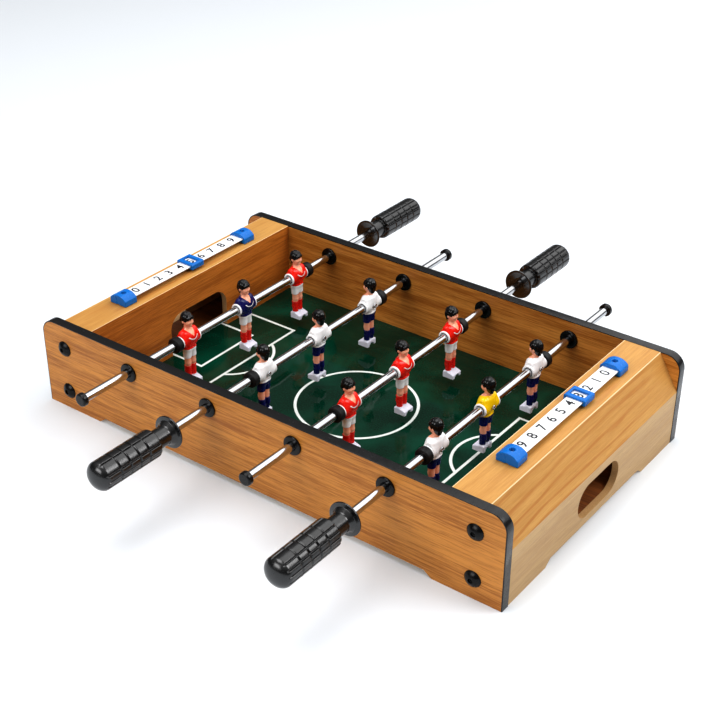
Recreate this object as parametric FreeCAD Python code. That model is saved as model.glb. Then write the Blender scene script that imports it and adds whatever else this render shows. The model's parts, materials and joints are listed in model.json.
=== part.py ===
import FreeCAD, Part
import math
import os

# Tabletop foosball table, in millimetres.
#
# X runs along the long sides, Y across the table along the rods, Z up. The origin lies at the
# middle of the base, on the surface that the table stands on. The front is at -Y.

Vector = FreeCAD.Vector
ORIGIN = Vector(0, 0, 0)
X_DIR = Vector(1, 0, 0)
Y_DIR = Vector(0, 1, 0)
Z_DIR = Vector(0, 0, 1)

# ---- cabinet ----
LENGTH = 510.0
WIDTH = 302.0
HEIGHT = 90.0
PANEL = 9.5
BAND = 1.0
CORNER_RADIUS = 15.0
FOOT_START_X = 188.5
FOOT_START_Y = 84.0
NOTCH_SLOPE = 7.5
NOTCH_HEIGHT = 5.5
BOARD = 6.0
HALF_LENGTH = LENGTH / 2
HALF_WIDTH = WIDTH / 2
INNER_Y = HALF_WIDTH - PANEL

# ---- end units: goal wall, ledge, slope and end panel, mitred along their folds ----
GOAL_WALL_X = 198.0
LEDGE_TOP = 89.5
LEDGE_EDGE_X = 234.0
END_X = 254.5
SLOPE_FOOT_Z = 55.0
GOAL_HALF_WIDTH = 40.5
GOAL_TOP = 59.0
GOAL_CORNER = 16.0
RETURN_HALF_WIDTH = 35.0
RETURN_LOW = 13.0
RETURN_HIGH = 46.0

# ---- playing field and ball trays ----
FIELD_TOP = 16.0
FIELD_BOARD = 3.2
GROOVE = 2.5
TRAY_BOARD = 3.0
TRAY_START_X = 190.0
TRAY_HALF_WIDTH = 120.0

# ---- corner blocks and their bolts ----
BLOCK_X = (216.0, 234.0)
BLOCK_Z = (6.0, 77.0)
BLOCK_DEPTH = 20.0
BOLT_X = 227.0
BOLT_Z = (19.6, 65.4)
BOLT_RADIUS = 3.0
BOLT_CLEARANCE = 0.2
BOLT_REACH = 12.0
BOLT_HEAD_RADIUS = 8.1
BOLT_HEAD_HEIGHT = 4.2
BOLT_HEAD_RIM = 0.9
# Middle point of the dome's curve: parts of its rise and of the head's radius.
BOLT_DOME_RISE = 0.75
BOLT_DOME_REACH = 0.56
SOCKET_RADIUS = 2.3
SOCKET_DEPTH = 2.0
INSERT_RADIUS = 4.3
INSERT_LENGTH = 13.0

# ---- rods ----
ROD_X = (-142.5, -47.5, 47.5, 142.5)
ROD_Z = 71.0
ROD_SHIFT = (6.5, 3.5, 4.5, -1.5)
ROD_HANDLE_AT_BACK = (True, False, True, False)
TUBE_RADIUS = 4.0
TUBE_BORE = 3.2
PLAYER_PITCH = 80.0
BUSH_RUNNING_FIT = 0.06
BUSH_BARREL = 6.0
BUSH_FLANGE = 9.0
BUSH_FLANGE_THICK = 2.2
BUSH_ROUND = 0.8
# Share of a quarter round's radius that its middle point stands in from the sharp corner.
ROUND_MIDDLE = 1 - math.sqrt(0.5)
BUMPER_RADIUS = 7.5
BUMPER_LENGTH = 7.5
BUMPER_GAP = 0.3
BUMPER_RUNNING_FIT = 0.06
BUMPER_ROUND = 1.2

# Along a rod, distances from the middle player: the cap is on the negative side.
CAP_END = -217.2
CAP_MOUTH = -212.0
CAP_RADIUS = 6.2
CAP_ROUND = 1.5
CAP_FLOOR = 1.4
HANDLE_START = 201.5
HANDLE_END = 289.3
HANDLE_SOCKET_END = 256.5
HANDLE_RECESS = 2.5
FLANGE_RADIUS = 15.0
FLANGE_THICK = 1.6
# Middle of the trumpet's curve, back from the flange and out from the neck.
TRUMPET_MIDDLE = (1.2, 2.2)
RECESS_RADIUS = 6.5
HANDLE_NECK_RADIUS = 8.75
NECK_FLARE_END = 207.5
GRIP_START = 222.5
GRIP_RADIUS = 13.0
GRIP_ROUND = 2.0
DOME_START = 281.0
# Middle of the dome's curve, back from the end, and its radius.
DOME_MIDDLE = (2.4, 8.6)
RING_FIRST = 236.6
RING_PITCH = 10.8
RING_COUNT = 4
GRIP_GROOVE_WIDTH = 1.2
GRIP_GROOVE_DEPTH = 1.4
GRIP_GROOVE_END = 281.0
# Angles of the lengthwise grooves from the mould's pull direction, in one half of the grip.
GRIP_GROOVE_ANGLES = (11.5, 37.0, 90.0, 143.0, 168.5)
GRIP_PULL_ANGLE = 42.0
# How far each handle is turned on its tube.
HANDLE_ROLL = (-11.0, -27.0, 0.0, -63.0)

# ---- players, from the rod's axis, facing +X ----
NECK_FOOT = 7.0
PLAYER_NECK_RADIUS = 3.4
CHIN = 14.0
CHIN_RADIUS = 4.2
JAW_TOP = 19.2
HEAD_CENTRE = 21.6
HEAD_RADIUS = 6.4
# Oval sections: (height, half depth, half width, centre X).
TORSO_OVALS = ((-11.5, 5.6, 7.0, 0.3), (-4.0, 7.2, 8.4, 0.4), (4.0, 7.4, 9.2, 0.4),
               (9.0, 5.4, 7.6, 0.2), (12.0, 3.0, 3.6, 0))
SHORTS_OVALS = ((-19.5, 4.6, 6.9, 0.8), (-10.5, 5.4, 7.0, 0.4))
SHOULDER = (6.6, 6.6)
ELBOW = (8.0, 1.0)
SHOULDER_RADIUS = 4.2
ELBOW_RADIUS = 4.8
HIP_Z = -14.0
HIP_RADIUS = 3.7
KNEE_Z = -29.0
KNEE_RADIUS = 3.2
ANKLE_Z = -40.5
ANKLE_RADIUS = 3.15
CUFF_RADIUS = 6.6
CUFF_HALF_SPAN = 12.0
SOLE = -46.5
SHOE_TOP = -39.5
SHOE_HEEL = -3.2
SHOE_TOE = 9.0
SHOE_HALF_WIDTH = 6.9
SHOE_ARCH = 3.6
SHOE_STEP_X = 3.5
SHOE_TOE_DROP = 1.9
LEG_SPREAD = 3.1
LEG_X = 0.8
SCREW_HEAD_RADIUS = 2.3
SCREW_HEAD_THICK = 1.4
SCREW_SHANK = 1.1
SCREW_SEAT_X = -6.4
SCREW_TIP_X = -1.0
SCREW_COUNTERBORE = 2.6

# ---- score counters ----
COUNTER_X = 215.5
COUNTER_Y = 2.5
DIGIT_PITCH = 15.25
DIGITS = 10
STRIP_HALF_WIDTH = 8.0
STRIP_LOW = 94.0
STRIP_THICK = 1.2
COUNTER_CLEAR = 77.5
STRIP_TENON = 5.0
END_BLOCK_LENGTH = 15.5
END_BLOCK_HALF_WIDTH = 10.25
END_BLOCK_HEIGHT = 10.5
END_BLOCK_WALL = 5.5
SCORE_SCREW_RADIUS = 1.3
SCORE_SCREW_HEAD = 2.2
SCORE_SCREW_HEAD_THICK = 1.5
SCORE_SCREW_SEAT = 96.0
SCORE_SCREW_TIP = 85.0
SLIDER_HALF_LENGTH = 8.5
SLIDER_HALF_WIDTH = 10.5
SLIDER_LOW = 91.6
SLIDER_HIGH = 97.6
SLIDER_PLAY = 0.3
WINDOW_HALF_WIDTH = 7.2
WINDOW_HALF_LENGTH = 4.1
SLIDER_CHAMFER = 1.2
SCORE_SHOWN = {"left": 5, "right": 3}

SIDES = {"left": -1, "right": 1}
FACES = {"front": -1, "back": 1}


def box(x, y, z):
    """Box between two limits on each axis."""
    corner = Vector(min(x), min(y), min(z))
    return Part.makeBox(abs(x[1] - x[0]), abs(y[1] - y[0]), abs(z[1] - z[0]), corner)


def rod(radius, start, end):
    """Cylinder between two points."""
    axis = end - start
    return Part.makeCylinder(radius, axis.Length, start, axis)


def rounded_wire(corners, place):
    """Closed wire through corners (u, v, radius), with a tangent arc where a radius is given."""
    points = [(place(u, v), radius) for u, v, radius in corners]
    edges = []
    count = len(points)
    joints = []
    for index, (corner, radius) in enumerate(points):
        before = (points[index - 1][0] - corner).normalize()
        after = (points[(index + 1) % count][0] - corner).normalize()
        if radius:
            half = before.getAngle(after) / 2
            reach = radius / math.tan(half)
            middle = (before + after).normalize()
            centre = corner + middle * (radius / math.sin(half))
            start = corner + before * reach
            end = corner + after * reach
            edges.append(Part.Arc(start, centre - middle * radius, end).toShape())
            joints.append((start, end))
        else:
            joints.append((corner, corner))
    for index in range(count):
        start = joints[index][1]
        end = joints[(index + 1) % count][0]
        if start.distanceToPoint(end) > 1e-6:
            edges.append(Part.makeLine(start, end))
    return Part.Wire(Part.__sortEdges__(edges))


def prism_y(corners, y):
    """Outline in X and Z, drawn out from the first Y to the second."""
    wire = rounded_wire(corners, lambda u, v: Vector(u, y[0], v))
    return Part.Face(wire).extrude(Vector(0, y[1] - y[0], 0))


def prism_x(corners, x):
    """Outline in Y and Z, drawn out from the first X to the second."""
    wire = rounded_wire(corners, lambda u, v: Vector(x[0], u, v))
    return Part.Face(wire).extrude(Vector(x[1] - x[0], 0, 0))


def turned(points, axis):
    """Solid of revolution about the Y or the Z axis, from (position along the axis, radius).

    A point given with a third value is the middle of an arc between its neighbours.
    """
    def place(station, radius):
        return Vector(radius, station, 0) if axis == Y_DIR else Vector(radius, 0, station)

    edges = []
    index = 0
    ring = list(points) + [points[0]]
    while index < len(ring) - 1:
        start = place(*ring[index][:2])
        if len(ring[index + 1]) == 3:
            middle = place(*ring[index + 1][:2])
            end = place(*ring[index + 2][:2])
            edges.append(Part.Arc(start, middle, end).toShape())
            index += 2
        else:
            edges.append(Part.makeLine(start, place(*ring[index + 1][:2])))
            index += 1
    return Part.Face(Part.Wire(edges)).revolve(ORIGIN, axis, 360)


def loft(sections):
    """Solid through horizontal ovals, each (height, half depth, half width, centre X)."""
    wires = []
    for z, half_depth, half_width, x in sections:
        centre = Vector(x, 0, z)
        oval = Part.Ellipse(centre + Vector(0, half_width, 0), centre + Vector(half_depth, 0, 0), centre)
        wires.append(Part.Wire(oval.toShape()))
    return Part.makeLoft(wires, True)


def joined(shapes):
    """One clean solid from overlapping shapes."""
    whole = shapes[0].multiFuse(shapes[1:]).removeSplitter()
    return whole.Solids[0] if len(whole.Solids) == 1 else whole


def mirrored(shape, side_x=1, side_y=1):
    """The shape, mirrored across the middle planes where a side is -1."""
    if side_x < 0:
        shape = shape.mirror(ORIGIN, X_DIR)
    if side_y < 0:
        shape = shape.mirror(ORIGIN, Y_DIR)
    return shape


# ---------------------------------------------------------------- cabinet


def side_outline(inset):
    """Side panel outline, set in from the outer faces of its edge band."""
    end = HALF_LENGTH - inset
    top = HEIGHT - inset
    radius = CORNER_RADIUS - inset
    return [(-end, 0, 0), (-end, top, radius), (end, top, radius), (end, 0, 0)]


def notch_outline():
    """The part of the bottom edge that is cut away between a side panel's feet."""
    inner = FOOT_START_X - NOTCH_SLOPE
    low = -1.0
    return [(-FOOT_START_X, low, 0), (-FOOT_START_X, 0, 0), (-inner, NOTCH_HEIGHT, 0),
            (inner, NOTCH_HEIGHT, 0), (FOOT_START_X, 0, 0), (FOOT_START_X, low, 0)]


def side_panel():
    """Back side panel, with its bush holes, bolt holes and the groove for the field board."""
    through = (INNER_Y - 1, HALF_WIDTH + 1)
    panel = prism_y(side_outline(BAND), (INNER_Y, HALF_WIDTH))
    cuts = [prism_y(notch_outline(), through)]
    for x in ROD_X:
        cuts.append(rod(BUSH_BARREL, Vector(x, through[0], ROD_Z), Vector(x, through[1], ROD_Z)))
    for x in (-BOLT_X, BOLT_X):
        for z in BOLT_Z:
            radius = BOLT_RADIUS + BOLT_CLEARANCE
            cuts.append(rod(radius, Vector(x, through[0], z), Vector(x, through[1], z)))
    field_end = GOAL_WALL_X + BOARD
    groove_z = (FIELD_TOP - FIELD_BOARD, FIELD_TOP)
    cuts.append(box((-field_end, field_end), (INNER_Y - 1, INNER_Y + GROOVE), groove_z))
    return panel.cut(cuts)


def edge_band():
    """Strip that wraps the back side panel's ends and top."""
    outside = prism_y(side_outline(0), (INNER_Y, HALF_WIDTH))
    inside = prism_y(side_outline(BAND), (INNER_Y, HALF_WIDTH))
    return outside.cut(inside)


def skin_point(index):
    """Corners of the end unit's outer skin, from the goal wall's foot round to the end's foot."""
    skin = [(GOAL_WALL_X, FIELD_TOP), (GOAL_WALL_X, LEDGE_TOP), (LEDGE_EDGE_X, LEDGE_TOP),
            (END_X, SLOPE_FOOT_Z), (END_X, 0)]
    return Vector(skin[index][0], 0, skin[index][1])


def lining_point(index):
    """The same corners on the inner skin, one board thickness in."""
    if index == 0:
        return skin_point(0) + Vector(BOARD, 0, 0)
    if index == 4:
        return skin_point(4) - Vector(BOARD, 0, 0)
    corner = skin_point(index)
    before = (skin_point(index - 1) - corner).normalize()
    after = (skin_point(index + 1) - corner).normalize()
    middle = (before + after).normalize()
    return corner + middle * (BOARD / math.sin(before.getAngle(after) / 2))


def end_board(index):
    """Right-hand board between two neighbouring folds, mitred at both."""
    loop = [skin_point(index), skin_point(index + 1), lining_point(index + 1), lining_point(index)]
    return prism_y([(p.x, p.z, 0) for p in loop], (-INNER_Y, INNER_Y))


def goal_wall():
    """Right-hand goal wall, with the goal mouth open down to the field."""
    mouth = [(-GOAL_HALF_WIDTH, FIELD_TOP - 1, 0), (-GOAL_HALF_WIDTH, GOAL_TOP, GOAL_CORNER),
             (GOAL_HALF_WIDTH, GOAL_TOP, GOAL_CORNER), (GOAL_HALF_WIDTH, FIELD_TOP - 1, 0)]
    return end_board(0).cut(prism_x(mouth, (GOAL_WALL_X - 1, GOAL_WALL_X + BOARD + 1)))


def end_ledge():
    """Right-hand ledge, with pilot holes for the score counter's screws."""
    ledge = end_board(1)
    holes = [rod(SCORE_SCREW_RADIUS, Vector(COUNTER_X, y, SCORE_SCREW_TIP),
                 Vector(COUNTER_X, y, LEDGE_TOP + 1)) for y in end_block_centres()]
    return ledge.cut(holes)


def end_panel():
    """Right-hand outer end, with the ball-return hole and the notch between its feet."""
    radius = (RETURN_HIGH - RETURN_LOW) / 2
    through = (END_X - BOARD - 1, END_X + 1)
    half = RETURN_HALF_WIDTH
    corners = ((-half, RETURN_LOW), (-half, RETURN_HIGH), (half, RETURN_HIGH), (half, RETURN_LOW))
    hole = [(y, z, radius) for y, z in corners]
    inner = FOOT_START_Y - NOTCH_SLOPE
    notch = [(-FOOT_START_Y, -1, 0), (-FOOT_START_Y, 0, 0), (-inner, NOTCH_HEIGHT, 0),
             (inner, NOTCH_HEIGHT, 0), (FOOT_START_Y, 0, 0), (FOOT_START_Y, -1, 0)]
    return end_board(3).cut([prism_x(hole, through), prism_x(notch, through)])


def playfield():
    """Field board, let into the side panels and carrying the goal walls."""
    end = GOAL_WALL_X + BOARD
    reach = INNER_Y + GROOVE
    return box((-end, end), (-reach, reach), (FIELD_TOP - FIELD_BOARD, FIELD_TOP))


def ball_tray():
    """Right-hand tray, glued under the field's end, where a scored ball comes to rest."""
    top = FIELD_TOP - FIELD_BOARD
    return box((TRAY_START_X, END_X - BOARD), (-TRAY_HALF_WIDTH, TRAY_HALF_WIDTH), (top - TRAY_BOARD, top))


def corner_block():
    """Block in the right-hand back corner that the side panel's bolts draw up to."""
    block = box(BLOCK_X, (INNER_Y - BLOCK_DEPTH, INNER_Y), BLOCK_Z)
    holes = [rod(INSERT_RADIUS, Vector(BOLT_X, INNER_Y - INSERT_LENGTH, z), Vector(BOLT_X, INNER_Y + 1, z))
             for z in BOLT_Z]
    return block.cut(holes)


def cabinet_bolt(z):
    """Domed bolt with a hexagon socket, in the right-hand end of the back panel."""
    rim = HALF_WIDTH + BOLT_HEAD_RIM
    crown = HALF_WIDTH + BOLT_HEAD_HEIGHT
    middle = (rim + (crown - rim) * BOLT_DOME_RISE, BOLT_HEAD_RADIUS * BOLT_DOME_REACH, "arc")
    profile = [(INNER_Y - BOLT_REACH, 0), (INNER_Y - BOLT_REACH, BOLT_RADIUS), (HALF_WIDTH, BOLT_RADIUS),
               (HALF_WIDTH, BOLT_HEAD_RADIUS), (rim, BOLT_HEAD_RADIUS), middle, (crown, 0)]
    bolt = turned(profile, Y_DIR)
    corners = [Vector(SOCKET_RADIUS * math.cos(math.radians(60 * k)), crown - SOCKET_DEPTH,
                      SOCKET_RADIUS * math.sin(math.radians(60 * k))) for k in range(7)]
    bolt = bolt.cut(Part.Face(Part.makePolygon(corners)).extrude(Vector(0, SOCKET_DEPTH + 1, 0)))
    bolt.translate(Vector(BOLT_X, 0, z))
    return bolt


def threaded_insert(z):
    """Threaded sleeve in the corner block that takes the bolt's end."""
    start = Vector(BOLT_X, INNER_Y - INSERT_LENGTH, z)
    end = Vector(BOLT_X, INNER_Y, z)
    return rod(INSERT_RADIUS, start, end).cut(rod(BOLT_RADIUS, start, end))


def rod_bush():
    """Back bush: its flange is outside, and its barrel runs through the panel and the nut."""
    bore = TUBE_RADIUS + BUSH_RUNNING_FIT
    outer = HALF_WIDTH + BUSH_FLANGE_THICK
    shoulder = BUSH_FLANGE - BUSH_ROUND
    corner = (outer - BUSH_ROUND * ROUND_MIDDLE, BUSH_FLANGE - BUSH_ROUND * ROUND_MIDDLE, "arc")
    profile = [(INNER_Y - BUSH_FLANGE_THICK, bore), (INNER_Y - BUSH_FLANGE_THICK, BUSH_BARREL),
               (HALF_WIDTH, BUSH_BARREL), (HALF_WIDTH, BUSH_FLANGE), (outer - BUSH_ROUND, BUSH_FLANGE),
               corner, (outer, shoulder), (outer, bore)]
    return turned(profile, Y_DIR)


def bush_nut():
    """Ring that holds a back bush from inside the cabinet."""
    inner = INNER_Y - BUSH_FLANGE_THICK
    corner = (inner + BUSH_ROUND * ROUND_MIDDLE, BUSH_FLANGE - BUSH_ROUND * ROUND_MIDDLE, "arc")
    profile = [(INNER_Y, BUSH_BARREL), (INNER_Y, BUSH_FLANGE), (inner + BUSH_ROUND, BUSH_FLANGE),
               corner, (inner, BUSH_FLANGE - BUSH_ROUND), (inner, BUSH_BARREL)]
    return turned(profile, Y_DIR)


def at_each_bush(shape):
    """The back bush part, repeated at both ends of every rod's line."""
    copies = []
    for x in ROD_X:
        for side in FACES.values():
            copy = mirrored(shape.copy(), side_y=side)
            copy.translate(Vector(x, 0, ROD_Z))
            copies.append(copy)
    return copies


# ---------------------------------------------------------------- score counters


def end_block_centres():
    """Y of the two end blocks of a counter."""
    reach = COUNTER_CLEAR + END_BLOCK_LENGTH / 2
    return [COUNTER_Y - reach, COUNTER_Y + reach]


def digit_y(side, digit):
    """Y of a digit: each counter counts up away from its own player's right hand."""
    return COUNTER_Y - SIDES[side] * (digit - (DIGITS - 1) / 2) * DIGIT_PITCH


def score_strip():
    """Right-hand digit strip, held at both ends."""
    reach = COUNTER_CLEAR + STRIP_TENON
    return box((COUNTER_X - STRIP_HALF_WIDTH, COUNTER_X + STRIP_HALF_WIDTH),
               (COUNTER_Y - reach, COUNTER_Y + reach), (STRIP_LOW, STRIP_LOW + STRIP_THICK))


def end_block(y):
    """Domed block at one end of the right-hand counter, slotted for the strip."""
    wall = LEDGE_TOP + END_BLOCK_WALL
    crown = LEDGE_TOP + END_BLOCK_HEIGHT
    half = END_BLOCK_HALF_WIDTH
    start = Vector(COUNTER_X - half, y - END_BLOCK_LENGTH / 2, wall)
    end = Vector(COUNTER_X + half, y - END_BLOCK_LENGTH / 2, wall)
    dome = Part.Arc(start, Vector(COUNTER_X, start.y, crown), end).toShape()
    low_end = Vector(end.x, end.y, LEDGE_TOP)
    low_start = Vector(start.x, start.y, LEDGE_TOP)
    sides = [Part.makeLine(end, low_end), Part.makeLine(low_end, low_start), Part.makeLine(low_start, start)]
    block = Part.Face(Part.Wire([dome] + sides)).extrude(Vector(0, END_BLOCK_LENGTH, 0))
    well = rod(SCORE_SCREW_HEAD, Vector(COUNTER_X, y, SCORE_SCREW_SEAT), Vector(COUNTER_X, y, crown + 1))
    hole = rod(SCORE_SCREW_RADIUS, Vector(COUNTER_X, y, LEDGE_TOP - 1), Vector(COUNTER_X, y, crown))
    return block.cut([score_strip(), well, hole])


def score_screw(y):
    """Screw that holds a right-hand end block down on the ledge."""
    top = SCORE_SCREW_SEAT + SCORE_SCREW_HEAD_THICK
    seat = Vector(COUNTER_X, y, SCORE_SCREW_SEAT)
    head = rod(SCORE_SCREW_HEAD, seat, Vector(COUNTER_X, y, top))
    shank = rod(SCORE_SCREW_RADIUS, Vector(COUNTER_X, y, SCORE_SCREW_TIP), seat)
    return joined([head, shank])


def score_slider():
    """Right-hand slider, a frame around the strip with a window over one digit, at Y = 0."""
    x = (COUNTER_X - SLIDER_HALF_WIDTH, COUNTER_X + SLIDER_HALF_WIDTH)
    length = (-SLIDER_HALF_LENGTH, SLIDER_HALF_LENGTH)
    frame = box(x, length, (SLIDER_LOW, SLIDER_HIGH))
    rails = [edge for edge in frame.Edges
             if abs(edge.CenterOfMass.z - SLIDER_HIGH) < 1e-6 and abs(edge.CenterOfMass.x - COUNTER_X) > 1]
    frame = frame.makeChamfer(SLIDER_CHAMFER, rails)
    slot_half = STRIP_HALF_WIDTH + SLIDER_PLAY
    slot = box((COUNTER_X - slot_half, COUNTER_X + slot_half), (length[0] - 1, length[1] + 1),
               (STRIP_LOW - SLIDER_PLAY, STRIP_LOW + STRIP_THICK + SLIDER_PLAY))
    window = box((COUNTER_X - WINDOW_HALF_WIDTH, COUNTER_X + WINDOW_HALF_WIDTH),
                 (-WINDOW_HALF_LENGTH, WINDOW_HALF_LENGTH), (STRIP_LOW, SLIDER_HIGH + 1))
    return frame.cut([slot, window])


# ---------------------------------------------------------------- rods
# Every rod is made once, along Y about the origin, with its handle on the positive side and its
# players facing +X. The rods of the other team are the same parts, turned half round.


def rod_tube():
    """Chromed tube from cap to handle, drilled for the players' screws."""
    start = Vector(0, CAP_END + CAP_FLOOR, 0)
    end = Vector(0, HANDLE_SOCKET_END, 0)
    tube = rod(TUBE_RADIUS, start, end).cut(rod(TUBE_BORE, start, end))
    holes = [rod(SCREW_SHANK, Vector(-TUBE_RADIUS - 1, y, 0), Vector(0, y, 0))
             for y in (-PLAYER_PITCH, 0, PLAYER_PITCH)]
    return tube.cut(holes)


def rod_cap():
    """Rubber cap pushed over the tube's plain end."""
    shoulder = CAP_RADIUS - CAP_ROUND
    corner = (CAP_END + CAP_ROUND * ROUND_MIDDLE, CAP_RADIUS - CAP_ROUND * ROUND_MIDDLE, "arc")
    profile = [(CAP_END, 0), (CAP_END, shoulder), corner, (CAP_END + CAP_ROUND, CAP_RADIUS),
               (CAP_MOUTH, CAP_RADIUS), (CAP_MOUTH, TUBE_RADIUS), (CAP_END + CAP_FLOOR, TUBE_RADIUS),
               (CAP_END + CAP_FLOOR, 0)]
    return turned(profile, Y_DIR)


def rod_handle():
    """Moulded handle: a trumpet flange, a neck, and a grip cut into blocks by grooves."""
    flange_back = HANDLE_START + FLANGE_THICK
    recess = HANDLE_START + HANDLE_RECESS
    profile = [(HANDLE_SOCKET_END, 0), (HANDLE_SOCKET_END, TUBE_RADIUS), (recess, TUBE_RADIUS),
               (recess, RECESS_RADIUS), (HANDLE_START, FLANGE_RADIUS - FLANGE_THICK),
               (HANDLE_START, FLANGE_RADIUS), (flange_back, FLANGE_RADIUS),
               (flange_back + TRUMPET_MIDDLE[0], HANDLE_NECK_RADIUS + TRUMPET_MIDDLE[1], "arc"),
               (NECK_FLARE_END, HANDLE_NECK_RADIUS),
               (GRIP_START, HANDLE_NECK_RADIUS), (GRIP_START, GRIP_RADIUS - GRIP_ROUND),
               (GRIP_START + GRIP_ROUND, GRIP_RADIUS), (DOME_START, GRIP_RADIUS),
               (HANDLE_END - DOME_MIDDLE[0], DOME_MIDDLE[1], "arc"), (HANDLE_END, 0)]
    handle = turned(profile, Y_DIR)
    floor = GRIP_RADIUS - GRIP_GROOVE_DEPTH
    reach = GRIP_RADIUS + 1
    grooves = []
    for k in range(RING_COUNT):
        low = RING_FIRST + k * RING_PITCH - GRIP_GROOVE_WIDTH / 2
        high = low + GRIP_GROOVE_WIDTH
        grooves.append(turned([(low, floor), (low, reach), (high, reach), (high, floor)], Y_DIR))
    half = GRIP_GROOVE_WIDTH / 2
    for angle in GRIP_GROOVE_ANGLES + tuple(a + 180 for a in GRIP_GROOVE_ANGLES):
        groove = box((floor, reach), (GRIP_START - 1, GRIP_GROOVE_END), (-half, half))
        groove.rotate(ORIGIN, Y_DIR, -(GRIP_PULL_ANGLE + angle))
        grooves.append(groove)
    return handle.cut(grooves)


def rod_bumpers():
    """Rubber rings outside the outer players, which soften the ends of the rod's travel."""
    inner = PLAYER_PITCH + CUFF_HALF_SPAN + BUMPER_GAP
    outer = inner + BUMPER_LENGTH
    bore = TUBE_RADIUS + BUMPER_RUNNING_FIT
    round_off = BUMPER_ROUND * ROUND_MIDDLE
    profile = [(inner, bore), (inner, BUMPER_RADIUS - BUMPER_ROUND),
               (inner + round_off, BUMPER_RADIUS - round_off, "arc"), (inner + BUMPER_ROUND, BUMPER_RADIUS),
               (outer - BUMPER_ROUND, BUMPER_RADIUS), (outer - round_off, BUMPER_RADIUS - round_off, "arc"),
               (outer, BUMPER_RADIUS - BUMPER_ROUND), (outer, bore)]
    ring = turned(profile, Y_DIR)
    return [ring, mirrored(ring.copy(), side_y=-1)]


def limb(start, end, start_radius, end_radius):
    """Round tapering limb between two points."""
    axis = end - start
    return Part.makeCone(start_radius, end_radius, axis.Length, start, axis)


def head_and_neck():
    """Round skull on a tapering jaw and a neck."""
    jaw_radius = math.sqrt(HEAD_RADIUS ** 2 - (HEAD_CENTRE - JAW_TOP) ** 2)
    profile = [(NECK_FOOT, 0), (NECK_FOOT, PLAYER_NECK_RADIUS),
               (CHIN, PLAYER_NECK_RADIUS), (CHIN, CHIN_RADIUS),
               (JAW_TOP, jaw_radius), (HEAD_CENTRE, HEAD_RADIUS, "arc"), (HEAD_CENTRE + HEAD_RADIUS, 0)]
    return turned(profile, Z_DIR)


def player():
    """One player with arms down to the rod, facing +X, bored for the tube and its screw."""
    parts = [head_and_neck(), loft(TORSO_OVALS), loft(SHORTS_OVALS)]
    for side in FACES.values():
        shoulder = Vector(0, side * SHOULDER[0], SHOULDER[1])
        elbow = Vector(0, side * ELBOW[0], ELBOW[1])
        parts.append(Part.makeSphere(SHOULDER_RADIUS, shoulder))
        parts.append(limb(shoulder, elbow, SHOULDER_RADIUS, ELBOW_RADIUS))
        hip, knee, ankle = [Vector(LEG_X, side * LEG_SPREAD, z) for z in (HIP_Z, KNEE_Z, ANKLE_Z)]
        parts.append(limb(hip, knee, HIP_RADIUS, KNEE_RADIUS))
        parts.append(limb(knee, ankle, KNEE_RADIUS, ANKLE_RADIUS))
    parts.append(rod(CUFF_RADIUS, Vector(0, -CUFF_HALF_SPAN, 0), Vector(0, CUFF_HALF_SPAN, 0)))
    toe_top = SHOE_TOP - SHOE_TOE_DROP
    shoes = prism_y([(SHOE_HEEL, SOLE, 0), (SHOE_HEEL, SHOE_TOP, 0), (SHOE_STEP_X, SHOE_TOP, 0),
                     (SHOE_TOE, toe_top, 0), (SHOE_TOE, SOLE, 0)], (-SHOE_HALF_WIDTH, SHOE_HALF_WIDTH))
    arch = rod(SHOE_ARCH, Vector(SHOE_HEEL - 1, 0, SOLE), Vector(SHOE_TOE + 1, 0, SOLE))
    parts.append(shoes.cut(arch))
    body = joined(parts)
    far = CUFF_HALF_SPAN + 1
    bore = rod(TUBE_RADIUS, Vector(0, -far, 0), Vector(0, far, 0))
    seat = rod(SCREW_COUNTERBORE, Vector(-far, 0, 0), Vector(SCREW_SEAT_X, 0, 0))
    hole = rod(SCREW_SHANK, Vector(-far, 0, 0), ORIGIN)
    return body.cut([bore, seat, hole])


def player_screw():
    """Screw from a player's back into the tube."""
    head = rod(SCREW_HEAD_RADIUS, Vector(SCREW_SEAT_X - SCREW_HEAD_THICK, 0, 0), Vector(SCREW_SEAT_X, 0, 0))
    shank = rod(SCREW_SHANK, Vector(SCREW_SEAT_X, 0, 0), Vector(SCREW_TIP_X, 0, 0))
    return joined([head, shank])


def moved(shape, offset):
    """A copy of the shape, shifted."""
    copy = shape.copy()
    copy.translate(offset)
    return copy


def rod_set():
    """Nodes of one rod, by the last part of their name, each a list of solids."""
    offsets = {"minus": -PLAYER_PITCH, "middle": 0, "plus": PLAYER_PITCH}
    figure = player()
    screw = player_screw()
    nodes = {"tube": [rod_tube()], "handle": [rod_handle()], "cap": [rod_cap()], "bumpers": rod_bumpers()}
    nodes["player_screws"] = [moved(screw, Vector(0, y, 0)) for y in offsets.values()]
    for place, y in offsets.items():
        nodes["player_" + place] = [moved(figure, Vector(0, y, 0))]
    return nodes


def placed_rod(nodes, index):
    """The rod's nodes where they stand at rest, named by their place on the table."""
    turned_round = not ROD_HANDLE_AT_BACK[index]
    names = {"player_minus": "player_back" if turned_round else "player_front",
             "player_plus": "player_front" if turned_round else "player_back"}
    result = {}
    for name, solids in nodes.items():
        copies = [solid.copy() for solid in solids]
        for copy in copies:
            if name == "handle":
                copy.rotate(ORIGIN, Y_DIR, -HANDLE_ROLL[index])
            if turned_round:
                copy.rotate(ORIGIN, Z_DIR, 180)
            copy.translate(Vector(ROD_X[index], ROD_SHIFT[index], ROD_Z))
        result["rod%d_%s" % (index + 1, names.get(name, name))] = copies
    return result


# ---------------------------------------------------------------- all nodes


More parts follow.
